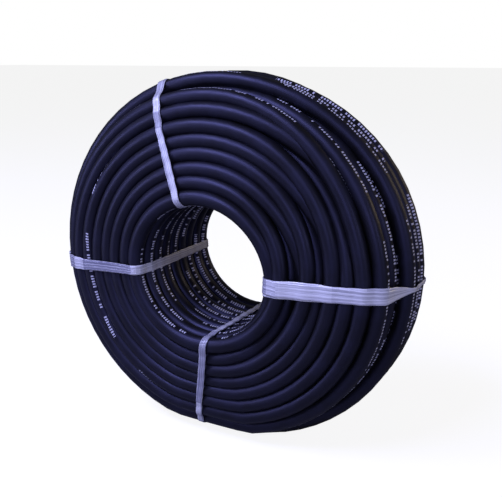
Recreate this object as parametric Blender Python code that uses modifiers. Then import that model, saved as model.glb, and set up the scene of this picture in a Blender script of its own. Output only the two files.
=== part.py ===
"""A bound coil of black rubber hose, standing on edge on its flattened foot.

The coil's axis is Y, its front face looks along -Y, and the origin is on the
ground below its centre. Units are metres.
"""
import math

import bmesh
import bpy
from mathutils import Matrix, Vector

# Driving dimensions of the hose and of the winding
HOSE_OD = 0.016
EYE_R = 0.0695
LAYER_PITCH = 0.01428
# How far each layer's end turns lie from the middle, from the eye outwards
LAYER_REACH = (0.064, 0.0605, 0.058, 0.056, 0.054, 0.052, 0.0485, 0.040, 0.024)

# The coil's outline in section, from those
FIRST_R = EYE_R + HOSE_OD / 2
COIL_R = EYE_R + HOSE_OD + (len(LAYER_REACH) - 1) * LAYER_PITCH
# Under its own weight the coil is this share wider and lower than round, and
# its lowest turns press flat on the ground
SAG = 0.018
FOOT_DEPTH = 0.008
CENTRE_Z = COIL_R * (1 - SAG) - FOOT_DEPTH
COIL_STEPS = 96

# Nested walls of the hose: cover, braid and liner, with room between the solids
GAP = 0.0003
SEAT_GAP = 0.0008
COVER_WALL = 0.0012
BRAID_WALL = 0.0005
LINER_WALL = 0.0006

# Film ties: clock angle from +X towards +Z, width, and how deep each one bites
# into the coil's outside; the bottom one lies just clear of the ground
TIE_THICKNESS = 0.0012
TIE_BITE = 0.0030
FOOT_TIE_BITE = 0.0106
TIES = {
    "film_tie_right": (0.0, 0.015, TIE_BITE),
    "film_tie_top": (108.0, 0.009, TIE_BITE),
    "film_tie_left": (184.5, 0.014, TIE_BITE),
    "film_tie_bottom": (268.0, 0.008, FOOT_TIE_BITE),
}

# The two ends of the hose: the arc each end stretch follows
OUTER_END_R = COIL_R - HOSE_OD / 2
OUTER_END_Y = -LAYER_REACH[-1]
OUTER_END_ARC = (190.0, 201.0)
INNER_END_R = FIRST_R
INNER_END_Y = LAYER_REACH[0]
INNER_END_ARC = (70.0, 30.0)
POCKET_ANGLE = 2.5


def clear_scene():
    for obj in list(bpy.data.objects):
        bpy.data.objects.remove(obj, do_unlink=True)


def collection(name):
    group = bpy.data.collections.new(name)
    bpy.context.scene.collection.children.link(group)
    return group


def material(name, colour, roughness):
    mat = bpy.data.materials.new(name)
    mat.use_nodes = True
    shader = mat.node_tree.nodes["Principled BSDF"]
    shader.inputs["Base Color"].default_value = (*colour, 1.0)
    shader.inputs["Roughness"].default_value = roughness
    shader.inputs["Metallic"].default_value = 0.0
    return mat


def add_object(name, data, group, mat=None):
    obj = bpy.data.objects.new(name, data)
    group.objects.link(obj)
    if mat is not None:
        data.materials.append(mat)
    return obj


def section_outline(grow=0.0, crest_limit=COIL_R):
    """The coil's outline in section as (radius, y) points, grown outwards.

    It runs round the innermost turn, over the end turn of each layer and
    round the outermost turn, and the same way back.
    """
    reach = HOSE_OD / 2 + grow
    last_r = COIL_R - HOSE_OD / 2
    half = []
    for step in range(4):
        angle = math.radians(180 - 30 * step)
        half.append((FIRST_R + reach * math.cos(angle),
                     LAYER_REACH[0] + reach * math.sin(angle)))
    for layer in range(1, len(LAYER_REACH) - 1):
        slope = (LAYER_REACH[layer - 1] - LAYER_REACH[layer + 1]) / (2 * LAYER_PITCH)
        angle = math.atan2(1.0, slope)
        half.append((FIRST_R + layer * LAYER_PITCH + reach * math.cos(angle),
                     LAYER_REACH[layer] + reach * math.sin(angle)))
    for step in range(5):
        angle = math.radians(60 - 15 * step)
        half.append((last_r + reach * math.cos(angle),
                     LAYER_REACH[-1] + reach * math.sin(angle)))
    front = [(min(radius, crest_limit + grow), y) for radius, y in half]
    back = [(radius, -y) for radius, y in reversed(front)]
    return front + back


def sagged(matrix):
    """The place in the sagged coil of something set in the round one."""
    squash = Matrix.Diagonal((1 + SAG, 1.0, 1 - SAG, 1.0))
    return Matrix.Translation((0.0, 0.0, CENTRE_Z)) @ squash @ matrix


def make_ring(group, mat):
    """The wound turns as one turned ring."""
    data = bpy.data.meshes.new("hose_coil")
    profile = bmesh.new()
    points = section_outline()
    verts = [profile.verts.new((radius, y, 0.0)) for radius, y in points]
    for first, second in zip(verts, verts[1:] + verts[:1]):
        profile.edges.new((first, second))
    bmesh.ops.spin(profile, geom=profile.verts[:] + profile.edges[:], cent=(0, 0, 0),
                   axis=(0, 1, 0), angle=math.tau, steps=COIL_STEPS, use_merge=True)
    bmesh.ops.remove_doubles(profile, verts=profile.verts[:], dist=1e-6)
    bmesh.ops.recalc_face_normals(profile, faces=profile.faces[:])
    profile.to_mesh(data)
    profile.free()
    coil = add_object("hose_coil", data, group, mat)
    coil.matrix_world = sagged(Matrix.Identity(4))
    data.shade_smooth()
    return coil


def to_mesh(obj, group):
    """A mesh object in the place of a curve object, with its seams welded."""
    bpy.context.view_layer.update()
    evaluated = obj.evaluated_get(bpy.context.evaluated_depsgraph_get())
    data = bpy.data.meshes.new_from_object(evaluated)
    shape = bmesh.new()
    shape.from_mesh(data)
    bmesh.ops.remove_doubles(shape, verts=shape.verts[:], dist=1e-6)
    bmesh.ops.recalc_face_normals(shape, faces=shape.faces[:])
    shape.to_mesh(data)
    shape.free()
    name = obj.name
    place = obj.matrix_world.copy()
    bpy.data.objects.remove(obj, do_unlink=True)
    mesh_object = bpy.data.objects.new(name, data)
    group.objects.link(mesh_object)
    mesh_object.matrix_world = place
    return mesh_object


def radial_frame(clock):
    """Local X outwards at the clock angle, local Y along the coil's axis."""
    angle = math.radians(clock)
    outwards = Vector((math.cos(angle), 0.0, math.sin(angle)))
    along = Vector((0.0, 1.0, 0.0))
    return Matrix((outwards, along, outwards.cross(along))).transposed().to_4x4()


def add_outline(curve, points):
    spline = curve.splines.new("POLY")
    spline.points.add(len(points) - 1)
    for point, (radius, y) in zip(spline.points, points):
        point.co = (radius, y, 0.0, 1.0)
    spline.use_cyclic_u = True


def make_band(name, clock, width, limit, inner, outer, group, mat=None):
    """A flat band around the coil's section, as a 2D outline with a hole."""
    curve = bpy.data.curves.new(name, "CURVE")
    curve.dimensions = "2D"
    curve.fill_mode = "BOTH"
    curve.extrude = width / 2
    add_outline(curve, section_outline(outer, limit))
    add_outline(curve, section_outline(inner, limit))
    band = add_object(name, curve, group, mat)
    band.matrix_world = sagged(radial_frame(clock))
    return to_mesh(band, group)


def make_arc(name, radius, y, start, end, bore, group, mat=None, caps=False):
    """A round tube's outside along an arc of the winding."""
    length = math.radians(abs(end - start)) * radius
    steps = max(6, math.ceil(length / (0.35 * HOSE_OD)))
    curve = bpy.data.curves.new(name, "CURVE")
    curve.dimensions = "3D"
    curve.bevel_depth = bore
    curve.bevel_resolution = 4
    curve.use_fill_caps = caps
    spline = curve.splines.new("POLY")
    spline.points.add(steps)
    for step, point in enumerate(spline.points):
        angle = math.radians(start + (end - start) * step / steps)
        point.co = (radius * math.cos(angle), y, radius * math.sin(angle), 1.0)
    tube = add_object(name, curve, group, mat)
    tube.matrix_world = sagged(Matrix.Identity(4))
    return to_mesh(tube, group)


def as_cutter(obj):
    obj.hide_render = True
    obj.display_type = "WIRE"
    return obj


def cut(target, cutter):
    modifier = target.modifiers.new("cut_" + cutter.name, "BOOLEAN")
    modifier.operation = "DIFFERENCE"
    modifier.solver = "EXACT"
    modifier.object = cutter


def make_foot_cutter(group):
    data = bpy.data.meshes.new("foot_cutter")
    shape = bmesh.new()
    bmesh.ops.create_cube(shape, size=1.0)
    bmesh.ops.scale(shape, vec=(0.2, 0.2, 0.02), verts=shape.verts[:])
    bmesh.ops.translate(shape, vec=(0.0, 0.0, -0.01), verts=shape.verts[:])
    shape.to_mesh(data)
    shape.free()
    return as_cutter(add_object("foot_cutter", data, group))


def make_end(prefix, radius, y, arc, parts, cutters, coil, mats):
    """One end stretch as its three nested walls, and the seat cut for it."""
    start, end = arc
    turn = math.copysign(POCKET_ANGLE, end - start)
    seat = make_arc(prefix + "_seat", radius, y, start - turn, end + turn,
                    HOSE_OD / 2 + SEAT_GAP, cutters, caps=True)
    cut(coil, as_cutter(seat))
    outside = HOSE_OD / 2
    for layer, wall in (("cover", COVER_WALL), ("braid", BRAID_WALL), ("liner", LINER_WALL)):
        tube = make_arc(f"{prefix}_{layer}", radius, y, start, end, outside, parts,
                        mats[layer])
        shell = tube.modifiers.new("wall", "SOLIDIFY")
        shell.thickness = wall
        shell.offset = -1.0
        outside -= wall + GAP


def build():
    clear_scene()
    parts = collection("rubber_hose_coil")
    cutters = collection("cutters")
    rubber = material("black_rubber", (0.012, 0.012, 0.016), 0.45)
    yarn = material("polyester_braid", (0.62, 0.60, 0.55), 0.8)
    liner = material("liner_rubber", (0.008, 0.008, 0.008), 0.6)
    film = material("stretch_film", (0.42, 0.44, 0.66), 0.25)
    mats = {"cover": rubber, "braid": yarn, "liner": liner}

    coil = make_ring(parts, rubber)
    cut(coil, make_foot_cutter(cutters))
    for name, (clock, width, bite) in TIES.items():
        crest = COIL_R - bite
        make_band(name, clock, width, crest, GAP, GAP + TIE_THICKNESS, parts, film)
        seat = make_band(name + "_seat", clock, width + 4 * GAP, crest, 0.0,
                         8 * TIE_THICKNESS, cutters)
        cut(coil, as_cutter(seat))
    make_end("outer_end", OUTER_END_R, OUTER_END_Y, OUTER_END_ARC, parts, cutters,
             coil, mats)
    make_end("inner_end", INNER_END_R, INNER_END_Y, INNER_END_ARC, parts, cutters,
             coil, mats)


build()
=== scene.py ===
"""The looks of a bound coil of black rubber hose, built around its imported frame.

Units are metres. The coil's axis is Y, its front face looks along -Y and it
stands on Z = 0. Clock angles run from +X towards +Z, about the coil's axis.
"""
import math
import random

import bmesh
import bpy
import numpy as np
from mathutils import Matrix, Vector
from mathutils.geometry import convex_hull_2d


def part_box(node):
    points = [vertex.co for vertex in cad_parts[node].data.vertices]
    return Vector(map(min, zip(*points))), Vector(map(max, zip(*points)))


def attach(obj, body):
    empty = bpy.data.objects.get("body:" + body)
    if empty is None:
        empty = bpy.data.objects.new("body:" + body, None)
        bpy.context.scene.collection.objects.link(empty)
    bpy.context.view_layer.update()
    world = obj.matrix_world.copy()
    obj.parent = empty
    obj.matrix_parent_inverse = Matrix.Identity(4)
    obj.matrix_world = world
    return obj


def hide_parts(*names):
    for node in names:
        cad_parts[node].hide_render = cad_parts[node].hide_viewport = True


bl_info = {
    "name": "Rubber Hose Coil",
    "version": (1, 0, 0),
    "blender": (4, 5, 0),
    "location": "3D View > Sidebar > Hose Coil",
    "description": "Winds a coil of rubber hose, ties it with stretch film and sets a plain stage",
    "category": "Add Mesh",
}

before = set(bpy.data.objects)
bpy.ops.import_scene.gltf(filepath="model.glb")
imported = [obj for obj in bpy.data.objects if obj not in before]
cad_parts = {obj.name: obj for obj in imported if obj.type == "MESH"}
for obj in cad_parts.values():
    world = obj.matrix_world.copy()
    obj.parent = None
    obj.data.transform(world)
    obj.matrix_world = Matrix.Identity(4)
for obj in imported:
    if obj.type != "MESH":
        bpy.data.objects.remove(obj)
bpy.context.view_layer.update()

# The winding: the turns in each layer from the eye outwards, and how far its
# end turns lie from the middle. Even layers run from the back to the front,
# and odd layers run to the back again.
LAYER_TURNS = (9, 8, 8, 8, 7, 7, 7, 6, 4)
LAYER_REACH = (0.064, 0.0605, 0.058, 0.056, 0.054, 0.052, 0.0485, 0.040, 0.024)

# Under its own weight the coil is this share wider and lower than round. Its
# lowest turns are pressed flat by FOOT_FLATTENING, and the layers above them
# are packed closer, less so towards the eye as FOOT_PACKING rises.
SAG = 0.018
FOOT_PACKING = 1.5
FOOT_FLATTENING = 0.0012
COIL_LOW, COIL_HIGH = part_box("hose_coil")
COIL_R = (COIL_HIGH[0] - COIL_LOW[0]) / 2 / (1 + SAG)
CENTRE_Z = COIL_HIGH[2] - COIL_R * (1 - SAG)

# Clock angles of the two cut ends, and of the change from turn to turn
INNER_END = 30.0
OUTER_END = 201.0
FIRST_CHANGE = -20.0
CHANGE_STEP = 10.0
CHANGE_HALF_LENGTH = 0.11
STEPS_PER_TURN = 64
HOSE_SIDES = 20

# At the cut ends the cover is this thick, and hollow for this many rings
COVER_WALL = 0.00128
END_DEPTH_RINGS = 3

# Film ties: the CAD node, its clock angle, how far it passes to one side of the
# coil's axis, and the film's width on the eye side, on the face and outside
TIES = (
    ("film_tie_right", 1.0, -0.004, 0.018, 0.0155, 0.0045),
    ("film_tie_top", 111.3, -0.0077, 0.0075, 0.0085, 0.010),
    ("film_tie_left", 185.0, 0.0, 0.0095, 0.014, 0.013),
    ("film_tie_bottom", 259.7, 0.022, 0.008, 0.007, 0.007),
)

# The film's mesh: the length of a row, the columns across it, and how far it
# stays from the rubber and from the ground
FILM_ROW = 0.0022
FILM_COLUMNS = 14
FILM_FROM_RUBBER = 0.0002
FILM_FROM_GROUND = 0.0004

# Film dips into the grooves by this share of their depth, up to the limit, and
# a stretch longer than this between two crests is one span
GROOVE_DIP = 0.3
DEEPEST_DIP = 0.0012
SHORTEST_SPAN = 0.006

# Print on the hose: the length of a tick and its gap, and of a run of ticks
TICK_PITCH = 0.0031
RUN_PITCH = 0.17

# A wave texture repeats every tau / (20 * scale), which is 5 mm here
BRAID_WAVE_SCALE = 62.5

# The floor's own grey, and its glow, which only the camera sees
FLOOR_GREY = "#8c8c8c"
FLOOR_GLOW = 0.97


# Colours and nodes

def linear(code, alpha=1.0):
    """An sRGB hex colour as linear values."""
    channels = [int(code[i:i + 2], 16) / 255 for i in (1, 3, 5)]
    return tuple(c / 12.92 if c <= 0.04045 else ((c + 0.055) / 1.055) ** 2.4
                 for c in channels) + (alpha,)


def add_node(tree, kind, inputs=None, **settings):
    """Adds a node, with its settings, and sets or links its inputs."""
    node = tree.nodes.new(kind)
    for name, value in settings.items():
        setattr(node, name, value)
    for name, value in (inputs or {}).items():
        if isinstance(value, bpy.types.NodeSocket):
            tree.links.new(value, node.inputs[name])
        else:
            node.inputs[name].default_value = value
    return node


def new_material(name):
    mat = bpy.data.materials.new(name)
    mat.use_nodes = True
    return mat, mat.node_tree, mat.node_tree.nodes["Principled BSDF"]


def extruded_rubber(settings):
    """Extruded EPDM cover: near black, satin, with die lines along the hose.

    It gives the eye long soft bluish highlights, a faint pale bloom and a
    broken line of pale print, drawn here as plain ticks.
    """
    mat, tree, shader = new_material("extruded_epdm_rubber")
    along = add_node(tree, "ShaderNodeUVMap", uv_map="along_hose").outputs["UV"]
    parts = add_node(tree, "ShaderNodeSeparateXYZ", {"Vector": along})
    metre, around = parts.outputs["X"], parts.outputs["Y"]
    place = add_node(tree, "ShaderNodeTexCoord").outputs["Object"]

    bloom = add_node(tree, "ShaderNodeTexNoise",
                     {"Vector": place, "Scale": 38.0, "Detail": 4.0, "Roughness": 0.6})
    bloom_mix = add_node(tree, "ShaderNodeMapRange",
                         {"Value": bloom.outputs["Fac"], "From Min": 0.45, "From Max": 0.75,
                          "To Min": 0.0, "To Max": 1.0})
    cover = add_node(tree, "ShaderNodeMix",
                     {"Factor": bloom_mix.outputs["Result"],
                      "A": linear(settings.cover_hex), "B": linear(settings.bloom_hex)},
                     data_type="RGBA")
    cover_colour = cover.outputs[2]

    # Print: ticks 1.7 mm long and 2 to 4 mm high, in runs of 126 mm with gaps
    tick = add_node(tree, "ShaderNodeMath", {0: metre, 1: 1 / TICK_PITCH},
                    operation="MULTIPLY")
    tick_part = add_node(tree, "ShaderNodeMath", {0: tick.outputs[0]}, operation="FRACT")
    tick_index = add_node(tree, "ShaderNodeMath", {0: tick.outputs[0]}, operation="FLOOR")
    tick_on = add_node(tree, "ShaderNodeMath", {0: tick_part.outputs[0], 1: 0.55},
                       operation="LESS_THAN")
    chance = add_node(tree, "ShaderNodeTexWhiteNoise", {"W": tick_index.outputs[0]},
                      noise_dimensions="1D")
    printed = add_node(tree, "ShaderNodeMath", {0: chance.outputs["Value"], 1: 0.8},
                       operation="LESS_THAN")
    run = add_node(tree, "ShaderNodeMath", {0: metre, 1: 1 / RUN_PITCH}, operation="MULTIPLY")
    run_part = add_node(tree, "ShaderNodeMath", {0: run.outputs[0]}, operation="FRACT")
    run_on = add_node(tree, "ShaderNodeMath", {0: run_part.outputs[0], 1: 0.74},
                      operation="LESS_THAN")
    turn = add_node(tree, "ShaderNodeMath", {0: around}, operation="FRACT")
    height = add_node(tree, "ShaderNodeMath", {0: turn.outputs[0], 1: 0.5},
                      operation="SUBTRACT")
    distance = add_node(tree, "ShaderNodeMath", {0: height.outputs[0]}, operation="ABSOLUTE")
    reach = add_node(tree, "ShaderNodeMapRange",
                     {"Value": chance.outputs["Value"], "From Min": 0.0, "From Max": 1.0,
                      "To Min": 0.038, "To Max": 0.022})
    in_line = add_node(tree, "ShaderNodeMath",
                       {0: distance.outputs[0], 1: reach.outputs["Result"]},
                       operation="LESS_THAN")
    mask = tick_on.outputs[0]
    for other in (printed, run_on, in_line):
        mask = add_node(tree, "ShaderNodeMath", {0: mask, 1: other.outputs[0]},
                        operation="MULTIPLY").outputs[0]
    worn = add_node(tree, "ShaderNodeMath", {0: mask, 1: 0.85}, operation="MULTIPLY")
    printed_cover = add_node(tree, "ShaderNodeMix",
                             {"Factor": worn.outputs[0], "A": cover_colour,
                              "B": linear(settings.print_hex)}, data_type="RGBA")
    tree.links.new(printed_cover.outputs[2], shader.inputs["Base Color"])

    # Die lines 0.9 mm apart run along the hose, over a grain 1.1 mm across, which
    # is coarser than the real one so that it shows
    stretch = add_node(tree, "ShaderNodeMapping",
                       {"Vector": along, "Scale": (6.0, 56.0, 1.0)})
    lines = add_node(tree, "ShaderNodeTexNoise",
                     {"Vector": stretch.outputs["Vector"], "Scale": 1.0, "Detail": 2.0})
    grain = add_node(tree, "ShaderNodeTexNoise",
                     {"Vector": place, "Scale": 900.0, "Detail": 2.0})
    relief = add_node(tree, "ShaderNodeMath",
                      {0: grain.outputs["Fac"], 1: 0.35, 2: lines.outputs["Fac"]},
                      operation="MULTIPLY_ADD")
    bump = add_node(tree, "ShaderNodeBump",
                    {"Height": relief.outputs[0], "Strength": 0.22, "Distance": 0.0004})
    tree.links.new(bump.outputs["Normal"], shader.inputs["Normal"])
    gloss = add_node(tree, "ShaderNodeMapRange",
                     {"Value": bloom.outputs["Fac"], "From Min": 0.3, "From Max": 0.75,
                      "To Min": 0.42, "To Max": 0.54})
    tree.links.new(gloss.outputs["Result"], shader.inputs["Roughness"])
    shader.inputs["IOR"].default_value = 1.52
    shader.inputs["Specular Tint"].default_value = linear(settings.sheen_hex)
    return mat


def liner_rubber():
    """Extruded NBR liner: matte black, with a grain 1.4 mm across that looks soft.

    The grain is coarser than the real one so that it shows.
    """
    mat, tree, shader = new_material("extruded_nbr_liner")
    place = add_node(tree, "ShaderNodeTexCoord").outputs["Object"]
    grain = add_node(tree, "ShaderNodeTexNoise",
                     {"Vector": place, "Scale": 700.0, "Detail": 3.0})
    shade = add_node(tree, "ShaderNodeMix",
                     {"Factor": grain.outputs["Fac"], "A": linear("#0c0c0d"),
                      "B": linear("#1b1b1c")}, data_type="RGBA")
    tree.links.new(shade.outputs[2], shader.inputs["Base Color"])
    shader.inputs["Roughness"].default_value = 0.7
    bump = add_node(tree, "ShaderNodeBump",
                    {"Height": grain.outputs["Fac"], "Strength": 0.3, "Distance": 0.0002})
    tree.links.new(bump.outputs["Normal"], shader.inputs["Normal"])
    return mat


def braided_polyester():
    """Braided polyester yarn: off-white and matte, seen as crossing diagonals.

    The bands are 5 mm apart, coarser than real yarns of 0.8 mm, because only
    the braid's cut edge shows.
    """
    mat, tree, shader = new_material("braided_polyester_yarn")
    place = add_node(tree, "ShaderNodeTexCoord").outputs["Object"]
    heights = []
    for turn in (0.8, -0.8):
        turned = add_node(tree, "ShaderNodeMapping",
                          {"Vector": place, "Rotation": (turn, turn, 0.0)})
        wave = add_node(tree, "ShaderNodeTexWave",
                        {"Vector": turned.outputs["Vector"], "Scale": BRAID_WAVE_SCALE,
                         "Distortion": 0.6}, bands_direction="X")
        heights.append(wave.outputs["Fac"])
    weave = add_node(tree, "ShaderNodeMath", {0: heights[0], 1: heights[1]},
                     operation="MAXIMUM")
    shade = add_node(tree, "ShaderNodeMix",
                     {"Factor": weave.outputs[0], "A": linear("#7d776a"),
                      "B": linear("#d9d3c4")}, data_type="RGBA")
    tree.links.new(shade.outputs[2], shader.inputs["Base Color"])
    shader.inputs["Roughness"].default_value = 0.85
    bump = add_node(tree, "ShaderNodeBump",
                    {"Height": weave.outputs[0], "Strength": 0.6, "Distance": 0.0003})
    tree.links.new(bump.outputs["Normal"], shader.inputs["Normal"])
    return mat


def stretch_film(settings):
    """Blown LLDPE stretch film: clear, but cloudy where it is creased together.

    It gives the eye lengthwise streaks of pale and dark, sharp glints, and a
    step in tone at each turn that it bends over. That step is painted light and
    shade: each span between two crests is at random lighter or darker, as if it
    faced the light differently.
    """
    mat, tree, shader = new_material("stretched_lldpe_film")
    along = add_node(tree, "ShaderNodeUVMap", uv_map="along_film").outputs["UV"]
    stretch = add_node(tree, "ShaderNodeMapping",
                       {"Vector": along, "Scale": (7.0, 900.0, 1.0)})
    streaks = add_node(tree, "ShaderNodeTexNoise",
                       {"Vector": stretch.outputs["Vector"], "Scale": 1.0, "Detail": 3.0,
                        "Roughness": 0.6})
    level = add_node(tree, "ShaderNodeMapRange",
                     {"Value": streaks.outputs["Fac"], "From Min": 0.3, "From Max": 0.68,
                      "To Min": 0.0, "To Max": 1.0})
    # Each span between two crests has its own tone, which lifts or lowers the crease streaks:
    # painted light and shade, as if the spans faced the light differently.
    tone = add_node(tree, "ShaderNodeUVMap", uv_map="span_tone").outputs["UV"]
    span = add_node(tree, "ShaderNodeSeparateXYZ", {"Vector": tone}).outputs["X"]
    lift = add_node(tree, "ShaderNodeMath", {0: span, 1: 0.75, 2: -0.4},
                    operation="MULTIPLY_ADD")
    creases_and_painted_light = add_node(tree, "ShaderNodeMath", {0: level.outputs["Result"], 1: lift.outputs[0]},
                     operation="ADD", use_clamp=True)
    shade = add_node(tree, "ShaderNodeMix",
                     {"Factor": creases_and_painted_light.outputs[0], "A": linear(settings.thin_hex),
                      "B": linear(settings.creased_hex)}, data_type="RGBA")
    tree.links.new(shade.outputs[2], shader.inputs["Base Color"])
    shader.inputs["Roughness"].default_value = 0.22
    shader.inputs["IOR"].default_value = 1.51
    shader.inputs["Coat Weight"].default_value = 0.5
    shader.inputs["Coat Roughness"].default_value = 0.12
    bump = add_node(tree, "ShaderNodeBump",
                    {"Height": streaks.outputs["Fac"], "Strength": 0.5, "Distance": 0.0006})
    tree.links.new(bump.outputs["Normal"], shader.inputs["Normal"])
    return mat


# The winding

def smooth(value):
    """A smooth step from 0 at -1 to 1 at +1."""
    part = np.clip((value + 1) / 2, 0.0, 1.0)
    return part * part * (3 - 2 * part)


def turn_places(settings):
    """Each turn's radius, place along the axis and layer, in winding order."""
    chance = random.Random(11)
    places = []
    for layer, (count, reach) in enumerate(zip(LAYER_TURNS, LAYER_REACH)):
        radius = settings.eye_radius + settings.diameter / 2 + layer * settings.layer_pitch
        ys = [reach * (2 * turn / (count - 1) - 1) for turn in range(count)]
        if layer % 2 == 0:
            ys.reverse()
        places += [[radius, y, layer] for y in ys]
    for place in places[1:-1]:
        place[0] += chance.uniform(-1, 1) * settings.unevenness
        place[1] += chance.uniform(-1, 1) * settings.unevenness
    return places


def winding(settings):
    """The hose's centreline: clock angle in radians, radius and y of each point."""
    places = turn_places(settings)
    last = len(places) - 1
    start, end = INNER_END, 360 * last + OUTER_END
    steps = math.ceil((end - start) / 360 * STEPS_PER_TURN)
    clock = np.radians(np.linspace(start, end, steps + 1))
    radius = np.full_like(clock, places[0][0])
    y = np.full_like(clock, places[0][1])
    for turn, (here, there) in enumerate(zip(places, places[1:])):
        change = math.radians(360 * (turn + 1) + FIRST_CHANGE + CHANGE_STEP * there[2])
        spread = CHANGE_HALF_LENGTH / here[0]
        blend = smooth((clock - change) / spread)
        radius += blend * (there[0] - here[0])
        y += blend * (there[1] - here[1])

    # The hand of the winder: slow wander, none at the two cut ends
    free = smooth((clock - clock[0]) / 1.2 - 1.6) * smooth((clock[-1] - clock) / 0.5 - 1.6)
    wander = settings.unevenness * free
    radius += wander * 0.5 * (np.sin(0.731 * clock + 1.0) + 0.6 * np.sin(2.377 * clock))
    y += wander * 0.6 * (np.sin(0.583 * clock + 2.0) + 0.6 * np.sin(1.913 * clock + 0.5))
    return clock, radius, y


def sagged(clock, radius, settings):
    """X and Z in the sagged coil of a place given by clock angle and radius."""
    x = radius * np.cos(clock) * (1 + SAG)
    z = CENTRE_Z + radius * np.sin(clock) * (1 - SAG)
    lowest = CENTRE_Z + COIL_R * np.sin(clock) * (1 - SAG)
    pressed = np.maximum(-FOOT_FLATTENING - lowest, 0.0)
    first = settings.eye_radius + settings.diameter / 2
    share = np.clip((radius - first) / (COIL_R - settings.diameter / 2 - first), 0.0, 1.0)
    return x, z + pressed * share ** FOOT_PACKING


def to_points(clock, radius, y, settings):
    x, z = sagged(clock, radius, settings)
    return np.stack([x, y, z], axis=-1)


def mesh_from_curve(curve, name):
    """The curve's surface as a mesh, with the curve and its object removed."""
    obj = bpy.data.objects.new(name + "_curve", curve)
    bpy.context.scene.collection.objects.link(obj)
    bpy.context.view_layer.update()
    graph = bpy.context.evaluated_depsgraph_get()
    mesh = bpy.data.meshes.new_from_object(obj.evaluated_get(graph))
    bpy.data.objects.remove(obj, do_unlink=True)
    bpy.data.curves.remove(curve)
    mesh.name = name
    return mesh


def tube_along(name, points, radius, sides):
    """An open round tube along the points: its rings of vertices follow them."""
    curve = bpy.data.curves.new(name, "CURVE")
    curve.dimensions = "3D"
    curve.bevel_depth = radius
    curve.bevel_resolution = sides // 2 - 2
    spline = curve.splines.new("POLY")
    spline.points.add(len(points) - 1)
    spline.points.foreach_set("co", np.c_[points, np.ones(len(points))].ravel())
    return mesh_from_curve(curve, name)


def print_clock(clock, radius):
    """Where the print faces around the hose: 0 outwards from the coil's axis.

    In the first layer it faces the eye and in the last ones outwards. In those
    between it is turned to the back, but some twist it to the front on the left.
    """
    first, last = radius.min(), radius.max()
    base = np.interp(radius, [first, first + 0.02, last - 0.036, last - 0.022],
                     [math.pi + 0.4, 1.3, 1.3, -0.3])
    left = np.clip(np.cos(clock - math.radians(195)), 0.0, 1.0) ** 1.5
    twisted = smooth(4 * np.sin(0.22 * clock + 1.0))
    middle = np.interp(radius, [first + 0.02, first + 0.04, last - 0.04, last - 0.02],
                       [0, 1, 1, 0])
    wander = 0.3 * np.sin(0.113 * clock + 0.4) + 0.15 * np.sin(0.041 * clock + 2.0)
    return base + wander - 3.2 * left * twisted * middle


def hose_uv(mesh, points, clock, radius, lengths, sides):
    """U is metres along the hose. V is turns around it, and V 0.5 is the print."""
    co = np.empty(len(mesh.vertices) * 3)
    mesh.vertices.foreach_get("co", co)
    spokes = co.reshape(-1, sides, 3) - points[:, None, :]
    outwards = np.stack([np.cos(clock), np.zeros_like(clock), np.sin(clock)], axis=-1)
    lean = np.arctan2(spokes[:, :2, 1], np.einsum("rsc,rc->rs", spokes[:, :2], outwards))
    way = np.sign(np.sin(lean[:, 1] - lean[:, 0]))
    offset = np.unwrap(lean[:, 0] - print_clock(clock, radius)) / math.tau + 0.5

    corner = np.empty(len(mesh.loops), dtype=np.int64)
    mesh.loops.foreach_get("vertex_index", corner)
    ring, side = np.divmod(corner, sides)
    side = side.reshape(-1, 4)
    seam = (side.max(axis=1) == sides - 1) & (side.min(axis=1) == 0)
    side[seam] = np.where(side[seam] == 0, sides, side[seam])
    layer = mesh.uv_layers.new(name="along_hose")
    around = offset[ring] + way[ring] * side.ravel() / sides
    uv = np.stack([lengths[ring], around], axis=-1)
    layer.uv.foreach_set("vector", uv.astype(np.float32).ravel())


def hollow_end(shape, rings, centres, share):
    """Turns the rim of a cut end inwards: rings and centres run from the cut.

    The hollow is this share of the hose's width, and its far end is closed.
    """
    rim = set(rings[0])
    edges = [edge for edge in shape.edges
             if edge.is_boundary and rim.issuperset(edge.verts)]
    current = {vert: side for side, vert in enumerate(rings[0])}
    places = [[vert.co.copy() for vert in ring] for ring in rings]
    for depth, centre in enumerate(centres):
        made = bmesh.ops.extrude_edge_only(shape, edges=edges)["geom"]
        verts = [item for item in made if isinstance(item, bmesh.types.BMVert)]
        edges = [item for item in made if isinstance(item, bmesh.types.BMEdge)
                 and item.is_boundary]
        by_place = {tuple(round(c, 6) for c in vert.co): side
                    for vert, side in current.items()}
        current = {vert: by_place[tuple(round(c, 6) for c in vert.co)] for vert in verts}
        for vert, side in current.items():
            vert.co = centre + (places[depth][side] - centre) * share
    bmesh.ops.edgeloop_fill(shape, edges=edges)


def finish_object(name, mesh, mat, body="root"):
    obj = bpy.data.objects.new(name, mesh)
    bpy.context.scene.collection.objects.link(obj)
    if not mesh.materials:
        mesh.materials.append(mat)
    else:
        mesh.materials[0] = mat
    mesh.shade_smooth()
    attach(obj, body)
    return obj


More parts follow.
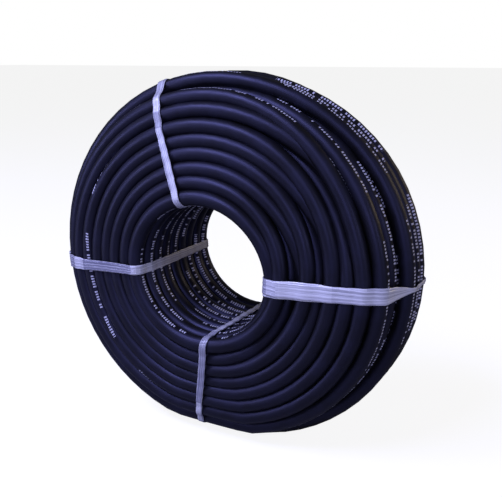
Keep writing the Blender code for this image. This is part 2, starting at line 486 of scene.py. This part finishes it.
def film_outline(settings, clock_angle):
    """The section that a tie spans at a clock angle, as (radius, y) points.

    Film is pulled tight over the crests of the turns, so it is their hull,
    pressed a little into the grooves between them. Gives the outline, its
    outward normals, the number of the span that each point is in and the length.
    """
    clock, radius, y = winding(settings)
    crossings = np.arange(math.radians(clock_angle), clock[-1], math.tau)
    crossings = crossings[crossings >= clock[0]]
    centres = np.stack([np.interp(crossings, clock, radius),
                        np.interp(crossings, clock, y)], axis=-1)
    around = np.linspace(0, math.tau, 48, endpoint=False)
    reach = settings.diameter / 2 + FILM_FROM_RUBBER
    ring = reach * np.stack([np.cos(around), np.sin(around)], axis=-1)
    crests = (centres[:, None, :] + ring[None, :, :]).reshape(-1, 2)
    hull = crests[convex_hull_2d([tuple(point) for point in crests])]
    closed = np.vstack([hull, hull[:1]])
    gaps = np.linalg.norm(np.diff(closed, axis=0), axis=1)
    length = np.concatenate([[0], np.cumsum(gaps)])
    count = int(length[-1] / FILM_ROW)
    where = np.linspace(0, length[-1], count, endpoint=False)
    outline = np.stack([np.interp(where, length, closed[:, axis]) for axis in (0, 1)], -1)
    depth = np.linalg.norm(outline[:, None] - centres[None], axis=-1).min(axis=1) - reach
    tangent = np.roll(outline, -1, axis=0) - np.roll(outline, 1, axis=0)
    tangent /= np.linalg.norm(tangent, axis=1)[:, None]
    normal = np.stack([tangent[:, 1], -tangent[:, 0]], axis=-1)
    middle = outline.mean(axis=0)
    if np.sum(normal * (outline - middle)) < 0:
        normal = -normal
    dip = np.minimum(depth * GROOVE_DIP, DEEPEST_DIP)
    spans = np.cumsum(gaps > SHORTEST_SPAN)
    span = spans[np.clip(np.searchsorted(length, where, side="right") - 1, 0, len(gaps) - 1)]
    return outline - normal * dip[:, None], normal, span, length[-1]


def film_width(outline, widths):
    """The film's width at each outline point, from the eye to the outside."""
    eye, face, outside = widths
    low, high = outline[:, 0].min(), outline[:, 0].max()
    part = (outline[:, 0] - low) / (high - low)
    return np.interp(part, [0.0, 0.08, 0.88, 0.985], [eye, eye, face, outside])


def film_mesh(name, settings, clock_angle, offset, widths, wrap):
    """One wrap of film around the section, creased along its length."""
    outline, normal, span, length = film_outline(settings.hose, clock_angle)
    rows = len(outline)
    chance = random.Random(name)
    phases = [chance.uniform(0, math.tau) for _ in range(8)]
    shape = bmesh.new()
    bmesh.ops.create_grid(shape, x_segments=rows, y_segments=FILM_COLUMNS, size=0.5)
    shape.verts.ensure_lookup_table()
    uv_layer = shape.loops.layers.uv.new("along_film")
    tone_layer = shape.loops.layers.uv.new("span_tone")
    # A random tone for each span between two crests: painted light and shade, as if each span
    # faced the light differently.
    tones = [chance.random() for _ in range(int(span.max()) + 1)]
    grid = {vert: (round((vert.co.x + 0.5) * rows), (vert.co.y + 0.5)) for vert in shape.verts}
    for face in shape.faces:
        first_row = min(grid[vert][0] for vert in face.verts)
        tone = tones[int(span[first_row % rows])]
        for corner in face.loops:
            row, across = grid[corner.vert]
            corner[tone_layer].uv = (tone, across)
            corner[uv_layer].uv = (row / rows * length, (across - 0.5) * 0.015 + wrap * 0.04)
    width = film_width(outline, widths)
    for vert, (row, across) in grid.items():
        step = row % rows
        turn = math.tau * row / rows
        radius, y = outline[step]
        angle = math.radians(clock_angle) + offset / radius
        outwards = np.array([math.cos(angle), 0.0, math.sin(angle)])
        sideways = np.array([-math.sin(angle), 0.0, math.cos(angle)])
        out = normal[step][0] * outwards + normal[step][1] * np.array([0.0, 1.0, 0.0])
        drift = 0.0006 * math.sin(2 * turn + phases[0]) + 0.0003 * math.sin(5 * turn + phases[1])
        edge = 1 + 0.03 * math.sin(5 * turn + phases[2]) + 0.02 * math.sin(9 * turn + phases[3])
        sheer = (across - 0.5) * width[step] * edge + drift * (1 if wrap else -1)
        broad = math.pi * across * 3.5 + phases[4] + 1.3 * math.sin(turn + phases[5])
        fine = math.pi * across * 6 + phases[6] + math.sin(3 * turn)
        crease = abs(math.sin(broad)) + 0.7 * abs(math.sin(fine))
        lift = settings.film.crease * crease * 0.5 + 0.0003 + 0.0005 * wrap
        x, z = sagged(angle, radius, settings.hose)
        place = np.array([x, y, z])
        co = place + out * lift + sideways * sheer
        co[2] = max(co[2], FILM_FROM_GROUND + 0.0003 * wrap)
        vert.co = co
    bmesh.ops.remove_doubles(shape, verts=shape.verts[:], dist=1e-6)
    bmesh.ops.recalc_face_normals(shape, faces=shape.faces[:])
    mesh = bpy.data.meshes.new(name)
    shape.to_mesh(mesh)
    shape.free()
    return mesh, length, float(width.mean()), float(width.max())


# Settings

class HoseSettings(bpy.types.PropertyGroup):
    diameter: bpy.props.FloatProperty(
        name="Outside diameter", description="Diameter over the rubber cover",
        default=0.016, min=0.004, subtype="DISTANCE", unit="LENGTH")
    eye_radius: bpy.props.FloatProperty(
        name="Eye radius", description="Radius of the open eye of the coil",
        default=0.0695, min=0.02, subtype="DISTANCE", unit="LENGTH")
    layer_pitch: bpy.props.FloatProperty(
        name="Layer pitch", description="Rise from one layer of turns to the next",
        default=0.01428, min=0.003, subtype="DISTANCE", unit="LENGTH")
    unevenness: bpy.props.FloatProperty(
        name="Unevenness", description="How far a turn strays from its neat place",
        default=0.0008, min=0.0, subtype="DISTANCE", unit="LENGTH")
    cover_hex: bpy.props.StringProperty(
        name="Cover", description="Colour of the rubber cover, as sRGB hex", default="#0d0c08")
    bloom_hex: bpy.props.StringProperty(
        name="Bloom", description="Colour of the cover where it has bloomed, as sRGB hex",
        default="#14141c")
    sheen_hex: bpy.props.StringProperty(
        name="Sheen", description="Colour of the cover's highlights, as sRGB hex",
        default="#c4c6ff")
    print_hex: bpy.props.StringProperty(
        name="Print", description="Colour of the tick marks along the hose, as sRGB hex",
        default="#dcdcea")


class FilmSettings(bpy.types.PropertyGroup):
    crease: bpy.props.FloatProperty(
        name="Crease height", description="Height of the creases along the film",
        default=0.0006, min=0.0, subtype="DISTANCE", unit="LENGTH")
    thickness: bpy.props.FloatProperty(
        name="Thickness", description="Thickness of one wrap of bunched film",
        default=0.00025, min=0.00002, subtype="DISTANCE", unit="LENGTH")
    thin_hex: bpy.props.StringProperty(
        name="Thin film", description="Colour where dark rubber shows through, as sRGB hex",
        default="#77778a")
    creased_hex: bpy.props.StringProperty(
        name="Creased film", description="Colour where creases lie together, as sRGB hex",
        default="#f4f4f8")


class StageSettings(bpy.types.PropertyGroup):
    key_power: bpy.props.FloatProperty(
        name="Key light", description="Power of the main soft light",
        default=55.0, min=0.0, unit="POWER")
    floor_hex: bpy.props.StringProperty(
        name="Floor", description="Colour of the floor's glow, as sRGB hex",
        default="#f4f4f4")


class HoseCoilSettings(bpy.types.PropertyGroup):
    hose: bpy.props.PointerProperty(type=HoseSettings)
    film: bpy.props.PointerProperty(type=FilmSettings)
    stage: bpy.props.PointerProperty(type=StageSettings)


# Operators

class HOSECOIL_OT_stage(bpy.types.Operator):
    """Lay the floor, light the coil and set the camera"""
    bl_idname = "hosecoil.stage"
    bl_label = "Set the Stage"

    def execute(self, context):
        settings = context.scene.hose_coil.stage
        make_floor(settings)
        make_lights(settings)
        make_camera(context.scene)
        context.scene.view_settings.view_transform = "Standard"
        return {"FINISHED"}


class HOSECOIL_OT_hose(bpy.types.Operator):
    """Wind the hose, from its inner end to its outer end"""
    bl_idname = "hosecoil.hose"
    bl_label = "Wind the Hose"

    def execute(self, context):
        settings = context.scene.hose_coil.hose
        clock, radius, y = winding(settings)
        points = to_points(clock, radius, y, settings)
        gaps = np.linalg.norm(np.diff(points, axis=0), axis=1)
        lengths = np.concatenate([[0.0], np.cumsum(gaps)])
        mesh = tube_along("wound_hose", points, settings.diameter / 2, HOSE_SIDES)
        if len(mesh.vertices) != len(points) * HOSE_SIDES:
            raise RuntimeError("the hose's rings don't follow its points")
        hose_uv(mesh, points, clock, radius, lengths, HOSE_SIDES)
        shape = bmesh.new()
        shape.from_mesh(mesh)
        share = 1 - 2 * COVER_WALL / settings.diameter
        for order in (range(len(points)), range(len(points) - 1, -1, -1)):
            picked = list(order[:END_DEPTH_RINGS + 1])
            shape.verts.ensure_lookup_table()
            rings = [[shape.verts[ring * HOSE_SIDES + side] for side in range(HOSE_SIDES)]
                     for ring in picked]
            hollow_end(shape, rings, [Vector(points[ring]) for ring in picked], share)
        for vert in shape.verts:
            vert.co.z = max(vert.co.z, 0.0)
        bmesh.ops.recalc_face_normals(shape, faces=shape.faces[:])
        shape.to_mesh(mesh)
        shape.free()
        hose = finish_object("wound_hose", mesh, extruded_rubber(settings))
        mesh.set_sharp_from_angle(angle=math.radians(50))
        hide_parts("hose_coil", "outer_end_cover", "inner_end_cover")
        print("hose length", round(float(lengths[-1]), 2))
        return {"FINISHED"}


class HOSECOIL_OT_ends(bpy.types.Operator):
    """Give the braid and the liner at the cut ends their materials"""
    bl_idname = "hosecoil.ends"
    bl_label = "Finish the Cut Ends"

    def execute(self, context):
        braid = braided_polyester()
        liner = liner_rubber()
        for end in ("outer_end", "inner_end"):
            bpy.data.objects[end + "_braid"].material_slots[0].material = braid
            bpy.data.objects[end + "_liner"].material_slots[0].material = liner
        return {"FINISHED"}


class HOSECOIL_OT_ties(bpy.types.Operator):
    """Wrap the four film ties around the coil"""
    bl_idname = "hosecoil.ties"
    bl_label = "Wrap the Film Ties"

    def execute(self, context):
        settings = context.scene.hose_coil
        mat = stretch_film(settings.film)
        for node, clock_angle, offset, eye, face, outside in TIES:
            for wrap in range(2):
                name = f"{node}_wrap_{wrap + 1}"
                part = (1.0, 0.86)[wrap]
                widths = (eye * part, face * part, outside * part)
                mesh, length, mean, most = film_mesh(name, settings, clock_angle, offset,
                                                       widths, wrap)
                film = finish_object(name, mesh, mat)
                wall = film.modifiers.new("thickness", "SOLIDIFY")
                wall.thickness = settings.film.thickness
                wall.offset = 0.0
                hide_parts(node)
        return {"FINISHED"}


class HOSECOIL_PT_panel(bpy.types.Panel):
    """Lists the steps that build the coil"""
    bl_label = "Hose Coil"
    bl_idname = "HOSECOIL_PT_panel"
    bl_space_type = "VIEW_3D"
    bl_region_type = "UI"
    bl_category = "Hose Coil"

    def draw(self, context):
        settings = context.scene.hose_coil
        for group in (settings.hose, settings.film, settings.stage):
            box = self.layout.box()
            for name in group.__annotations__:
                box.prop(group, name)
        for step in STEPS:
            self.layout.operator(step.bl_idname)


# Stage

def make_floor(settings):
    shape = bmesh.new()
    bmesh.ops.create_grid(shape, x_segments=1, y_segments=1, size=30.0)
    mesh = bpy.data.meshes.new("floor")
    shape.to_mesh(mesh)
    shape.free()
    floor = bpy.data.objects.new("floor", mesh)
    bpy.context.scene.collection.objects.link(floor)
    floor.location.z = -0.0002
    mat, tree, shader = new_material("painted_floor")
    shader.inputs["Base Color"].default_value = linear(FLOOR_GREY)
    shader.inputs["Roughness"].default_value = 0.9
    seen = add_node(tree, "ShaderNodeLightPath").outputs["Is Camera Ray"]
    glow = add_node(tree, "ShaderNodeMath", {0: seen, 1: FLOOR_GLOW}, operation="MULTIPLY")
    shader.inputs["Emission Color"].default_value = linear(settings.floor_hex)
    tree.links.new(glow.outputs[0], shader.inputs["Emission Strength"])
    mesh.materials.append(mat)


def area_light(name, place, aim, size, power, colour):
    data = bpy.data.lights.new(name, "AREA")
    data.shape = "RECTANGLE"
    data.size, data.size_y = size
    data.energy = power
    data.color = colour
    light = bpy.data.objects.new(name, data)
    light.location = place
    light.rotation_euler = (Vector(aim) - Vector(place)).to_track_quat("-Z", "Y").to_euler()
    bpy.context.scene.collection.objects.link(light)


def make_lights(settings):
    """Soft bluish lights from the front and a warm one from behind.

    The world is white to the camera and dim to everything else.
    """
    middle = (0.0, 0.0, CENTRE_Z)
    power = settings.key_power
    area_light("key_above_left", (-0.75, -1.2, 1.9), middle, (1.6, 0.6), power,
               (0.50, 0.52, 1.0))
    area_light("strip_front", (0.8, -2.2, 0.7), middle, (0.3, 0.8), power * 0.2,
               (0.50, 0.52, 1.0))
    area_light("strip_left", (-1.9, -1.4, 0.6), middle, (0.3, 0.9), power * 0.3,
               (0.50, 0.52, 1.0))
    area_light("fill_right", (2.0, -0.7, 0.8), middle, (0.4, 1.0), power * 0.12,
               (0.60, 0.62, 1.0))
    area_light("warm_back", (1.3, 1.3, 0.9), middle, (0.6, 0.6), power * 0.08,
               (1.0, 0.8, 0.5))
    world = bpy.data.worlds.new("studio")
    world.use_nodes = True
    tree = world.node_tree
    back = tree.nodes["Background"]
    seen = add_node(tree, "ShaderNodeLightPath").outputs["Is Camera Ray"]
    strength = add_node(tree, "ShaderNodeMapRange",
                        {"Value": seen, "To Min": 0.07, "To Max": 1.0})
    back.inputs["Color"].default_value = (1.0, 1.0, 1.0, 1.0)
    tree.links.new(strength.outputs["Result"], back.inputs["Strength"])
    bpy.context.scene.world = world


def make_camera(scene):
    azimuth, elevation = math.radians(29.7), math.radians(15.2)
    back = Vector((math.sin(azimuth) * math.cos(elevation),
                   -math.cos(azimuth) * math.cos(elevation), math.sin(elevation)))
    aim = Vector((0.0, -0.005, CENTRE_Z))
    data = bpy.data.cameras.new("camera")
    data.lens = 53.4
    data.sensor_width = 36.0
    data.shift_x = 0.044
    data.shift_y = 0.022
    camera = bpy.data.objects.new("camera", data)
    camera.location = aim + back * 4.0 * COIL_R
    camera.rotation_euler = back.to_track_quat("Z", "Y").to_euler()
    scene.collection.objects.link(camera)
    scene.camera = camera


STEPS = (HOSECOIL_OT_stage, HOSECOIL_OT_hose, HOSECOIL_OT_ends, HOSECOIL_OT_ties)
CLASSES = (HoseSettings, FilmSettings, StageSettings, HoseCoilSettings) + STEPS + (
    HOSECOIL_PT_panel,)


def register():
    for cls in CLASSES:
        bpy.utils.register_class(cls)
    bpy.types.Scene.hose_coil = bpy.props.PointerProperty(type=HoseCoilSettings)


def unregister():
    del bpy.types.Scene.hose_coil
    for cls in reversed(CLASSES):
        bpy.utils.unregister_class(cls)


def main():
    register()
    bpy.ops.hosecoil.stage()
    bpy.ops.hosecoil.hose()
    bpy.ops.hosecoil.ends()
    bpy.ops.hosecoil.ties()


if __name__ == "__main__":
    main()
